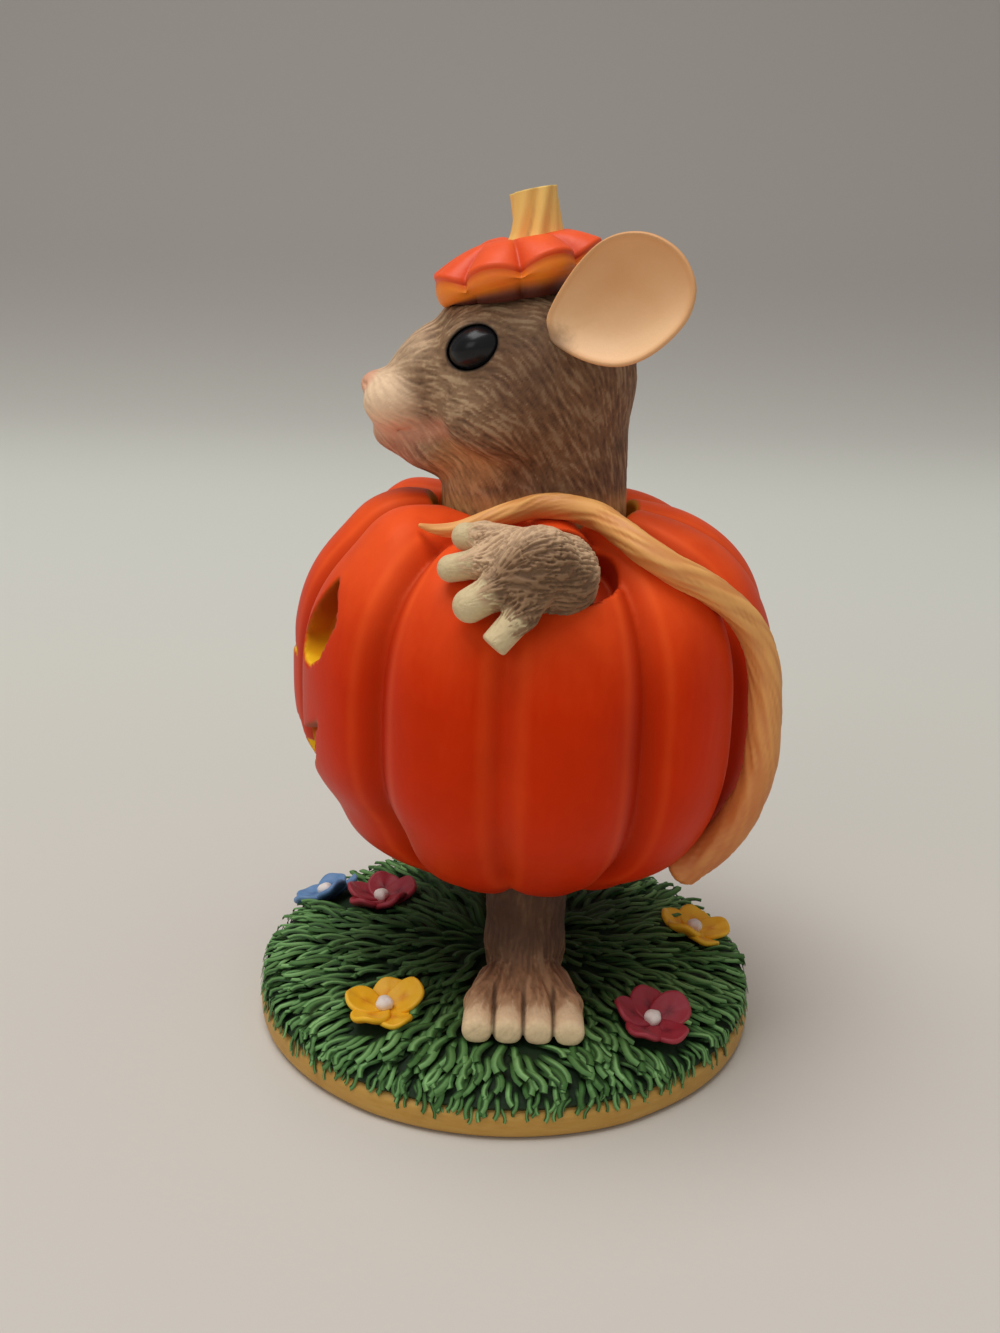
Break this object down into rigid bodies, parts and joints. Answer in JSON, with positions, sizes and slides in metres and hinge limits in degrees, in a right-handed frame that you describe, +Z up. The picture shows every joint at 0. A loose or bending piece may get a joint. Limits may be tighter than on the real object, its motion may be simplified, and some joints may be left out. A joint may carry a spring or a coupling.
{
  "type": "mouse figurine",
  "caption": "Standing mouse in a carved pumpkin costume with a pumpkin-lid hat, on a round grassy plinth with flowers.",
  "frame": {"origin": "middle of the plinth's underside", "axes": "+Z up; the mouse faces -Y; +X to the mouse's left"},
  "size_m": [0.0594, 0.0594, 0.0954],
  "materials": {
    "gold_rim": "satin ochre-gold paint",
    "grass": "dark green paint with light green dry brushing",
    "fur": "carved grey-brown fur with light dry brushing",
    "pumpkin_orange": "satin orange-red paint, darker in the grooves",
    "ear_skin": "matt pinkish tan",
    "eye_black": "high gloss black",
    "stem_straw": "matt straw yellow with brown ridges",
    "tail_skin": "matt peach tan",
    "petal_blue": "satin light blue paint",
    "petal_red": "satin burgundy paint",
    "petal_yellow": "satin yellow paint",
    "centre_white": "satin white paint"
  },
  "bodies": {
    "root": {"plinth": "gold_rim", "turf": "grass", "left_leg": "fur", "right_leg": "fur", "pumpkin": "pumpkin_orange", "head": "fur", "left_ear": "ear_skin", "right_ear": "ear_skin", "left_eye": "eye_black", "right_eye": "eye_black", "hat_lid": "pumpkin_orange", "hat_stem": "stem_straw", "left_arm": "fur", "right_arm": "fur", "tail": "tail_skin", "blue_flower": "petal_blue", "rear_red_flower": "petal_red", "side_yellow_flower": "petal_yellow", "side_red_flower": "petal_red", "rear_yellow_flower": "petal_yellow", "flower_centres": "centre_white"}
  },
  "joints": []
}
